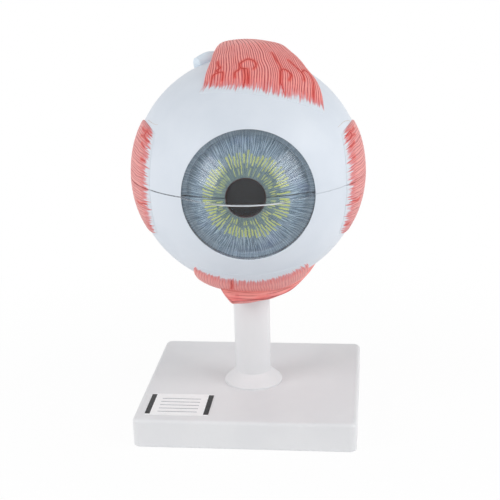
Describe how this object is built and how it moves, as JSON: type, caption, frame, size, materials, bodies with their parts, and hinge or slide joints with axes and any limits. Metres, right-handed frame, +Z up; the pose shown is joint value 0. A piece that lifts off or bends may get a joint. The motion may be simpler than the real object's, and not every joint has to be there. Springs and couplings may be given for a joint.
{
  "type": "eye anatomy model",
  "caption": "Enlarged left eyeball on a post and base, opening at its equator to show shells, iris, lens and vitreous body.",
  "frame": {"origin": "centre of the base's underside, on the surface it stands on", "axes": "+Z up along the post, -Y towards the viewer of the front, +X to that viewer's right; the gaze is turned 6 degrees from -Y towards +X"},
  "size_m": [0.1267, 0.1412, 0.2049],
  "materials": {
    "stand_white": "satin moulded white plastic",
    "bush_grey": "grey nylon",
    "label": "printed paper label, matt",
    "steel": "bright turned steel",
    "sclera_white": "satin blue-white painted plastic",
    "cornea_clear": "clear polished acrylic",
    "lens_clear": "clear polished acrylic",
    "vitreous_clear": "clear moulded polystyrene",
    "muscle_red": "hand-painted salmon red, satin",
    "tendon_white": "satin blue-white painted plastic",
    "nerve_yellow": "painted plastic, satin",
    "sheath_white": "painted plastic, satin",
    "disc_yellow": "painted plastic, satin",
    "artery_red": "painted plastic, satin",
    "vein_blue": "painted plastic, satin",
    "choroid_brown": "painted plastic with vessels, satin",
    "retina_orange": "painted plastic with vessels, satin",
    "ciliary_brown": "painted plastic with folds, satin",
    "iris_blue": "printed fibre pattern, satin"
  },
  "bodies": {
    "stand": {"base_shell": "stand_white", "base_label": "label", "support_post": "stand_white", "post_bush": "bush_grey", "post_screw": "steel", "post_washer": "steel"},
    "peg": {"swivel_peg": "steel"},
    "lower_globe": {"lower_sclera": "sclera_white", "lower_cornea": "cornea_clear", "sclera_pins": "steel", "inferior_rectus": "muscle_red", "inferior_oblique": "muscle_red", "medial_rectus_lower": "muscle_red", "lateral_rectus_lower": "muscle_red", "optic_nerve_core_lower": "nerve_yellow", "optic_nerve_sheath_lower": "sheath_white", "central_artery": "artery_red"},
    "lower_uvea": {"lower_choroid": "choroid_brown", "lower_retina": "retina_orange", "lower_ciliary_body": "ciliary_brown", "lower_iris": "iris_blue", "optic_disc_lower": "disc_yellow", "choroid_pins": "steel"},
    "vitreous": {"vitreous_front": "vitreous_clear", "vitreous_rear": "vitreous_clear"},
    "lens_body": {"lens": "lens_clear"},
    "upper_uvea": {"upper_choroid": "choroid_brown", "upper_retina": "retina_orange", "upper_ciliary_body": "ciliary_brown", "upper_iris": "iris_blue", "optic_disc_upper": "disc_yellow"},
    "upper_globe": {"upper_sclera": "sclera_white", "upper_cornea": "cornea_clear", "superior_rectus": "muscle_red", "superior_oblique_tendon": "tendon_white", "medial_rectus_upper": "muscle_red", "lateral_rectus_upper": "muscle_red", "optic_nerve_core_upper": "nerve_yellow", "optic_nerve_sheath_upper": "sheath_white", "central_vein": "vein_blue"}
  },
  "joints": [
    {"name": "globe_lift_off", "type": "slide", "parent": "stand", "child": "peg", "axis": [0, 0, 1], "range_m": [0, 0.035]},
    {"name": "globe_swivel", "type": "hinge", "parent": "peg", "child": "lower_globe", "pos_m": [0, 0, 0.0685], "axis": [0, 0, 1], "continuous": true},
    {"name": "lower_uvea_lift", "type": "slide", "parent": "lower_globe", "child": "lower_uvea", "axis": [0, 0, 1], "range_m": [0, 0.065]},
    {"name": "vitreous_lift", "type": "slide", "parent": "lower_uvea", "child": "vitreous", "axis": [0, 0, 1], "range_m": [0, 0.06]},
    {"name": "lens_roll_out", "type": "hinge", "parent": "vitreous", "child": "lens_body", "pos_m": [0.00659, -0.06269, 0.1365], "axis": [0.9945, 0.1045, 0], "range_deg": [0, 40]},
    {"name": "upper_uvea_lift", "type": "slide", "parent": "vitreous", "child": "upper_uvea", "axis": [0, 0, 1], "range_m": [0, 0.065]},
    {"name": "upper_sclera_lift", "type": "slide", "parent": "upper_uvea", "child": "upper_globe", "axis": [0, 0, 1], "range_m": [0, 0.075]}
  ],
  "couplings": [
    {"joint": "lens_roll_out", "follows": "upper_uvea_lift", "rad_per_m": 10.7}
  ]
}
